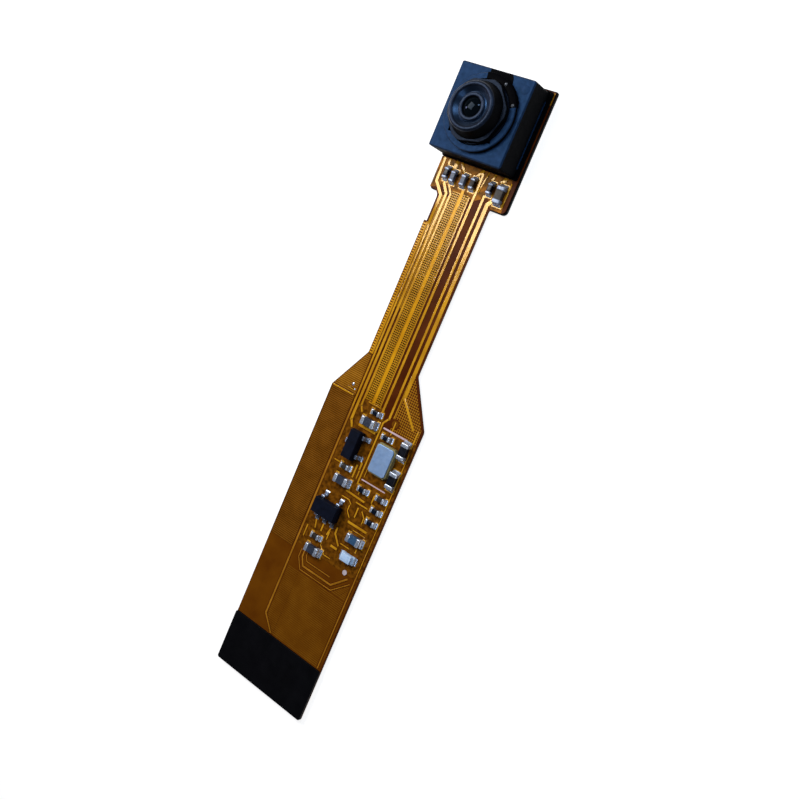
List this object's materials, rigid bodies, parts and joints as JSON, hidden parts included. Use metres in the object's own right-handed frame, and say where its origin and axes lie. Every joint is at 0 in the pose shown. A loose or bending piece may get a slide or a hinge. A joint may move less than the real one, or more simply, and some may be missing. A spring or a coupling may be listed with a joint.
{
  "type": "camera module",
  "caption": "Small wide-angle camera module: a screw-in lens in a square holder on a flexible ribbon circuit with a contact tongue at its far end.",
  "frame": {"origin": "on the optical axis, at the underside of the head's backing plate", "axes": "+Z along the optical axis, out of the lens; +Y along the ribbon, from the contact tongue to the head; +X across the ribbon"},
  "size_m": [0.0116, 0.062, 0.0055],
  "materials": {
    "polyimide": "amber cover film",
    "copper": "under clear film",
    "black_laminate": "satin",
    "gold_plate": "plated",
    "holder_plastic": "fine moulded texture",
    "black_epoxy": "cured",
    "clear_glue": "clear",
    "barrel_plastic": "satin",
    "spacer_plastic": "blackened",
    "lens_glass": "coated",
    "filter_glass": "coated",
    "silicon": "polished die",
    "ic_plastic": "moulded",
    "tinned_lead": "tinned",
    "solder": "reflowed",
    "ceramic_grey": "fired",
    "ceramic_brown": "fired",
    "ferrite_black": "fired",
    "resistor_black": "glazed",
    "coil_blue": "glazed",
    "crystal_ceramic": "fired",
    "crystal_lid": "plated lid",
    "light_resin": "translucent"
  },
  "bodies": {
    "root": {"flex_circuit": "polyimide", "copper_traces": "copper", "head_plate": "black_laminate", "contact_stiffener": "black_laminate", "contact_fingers": "gold_plate", "lens_holder": "holder_plastic", "holder_adhesive": "black_epoxy", "thread_lock": "clear_glue", "lens_barrel": "barrel_plastic", "front_lens": "lens_glass", "aperture_spacer": "spacer_plastic", "middle_lens": "lens_glass", "spacer_ring": "spacer_plastic", "rear_lens": "lens_glass", "lens_retainer": "spacer_plastic", "infrared_filter": "filter_glass", "image_sensor": "silicon", "regulator_body": "ic_plastic", "driver_body": "ic_plastic", "crystal_base": "crystal_ceramic", "crystal_lid": "crystal_lid", "indicator_light": "light_resin", "solder_joints": "solder", "test_pad": "solder", "regulator_lead_1": "tinned_lead", "regulator_lead_2": "tinned_lead", "regulator_lead_3": "tinned_lead", "driver_lead_1": "tinned_lead", "driver_lead_2": "tinned_lead", "driver_lead_3": "tinned_lead", "driver_lead_4": "tinned_lead", "driver_lead_5": "tinned_lead", "head_capacitor_1": "ceramic_grey", "head_capacitor_2": "ceramic_grey", "head_capacitor_3": "ceramic_grey", "head_capacitor_4": "ceramic_brown", "head_capacitor_5": "resistor_black", "head_capacitor_6": "ceramic_brown", "neck_resistor": "resistor_black", "neck_capacitor": "ceramic_grey", "regulator_capacitor_1": "ceramic_brown", "regulator_capacitor_2": "ceramic_grey", "driver_capacitor_1": "ceramic_brown", "driver_capacitor_2": "ceramic_grey", "crystal_capacitor": "resistor_black", "ferrite_bead_1": "ferrite_black", "ferrite_bead_2": "ferrite_black", "pull_up_resistor_1": "resistor_black", "pull_up_resistor_2": "ceramic_brown", "pull_up_resistor_3": "resistor_black", "pull_up_resistor_4": "resistor_black", "supply_choke": "coil_blue"}
  },
  "joints": []
}
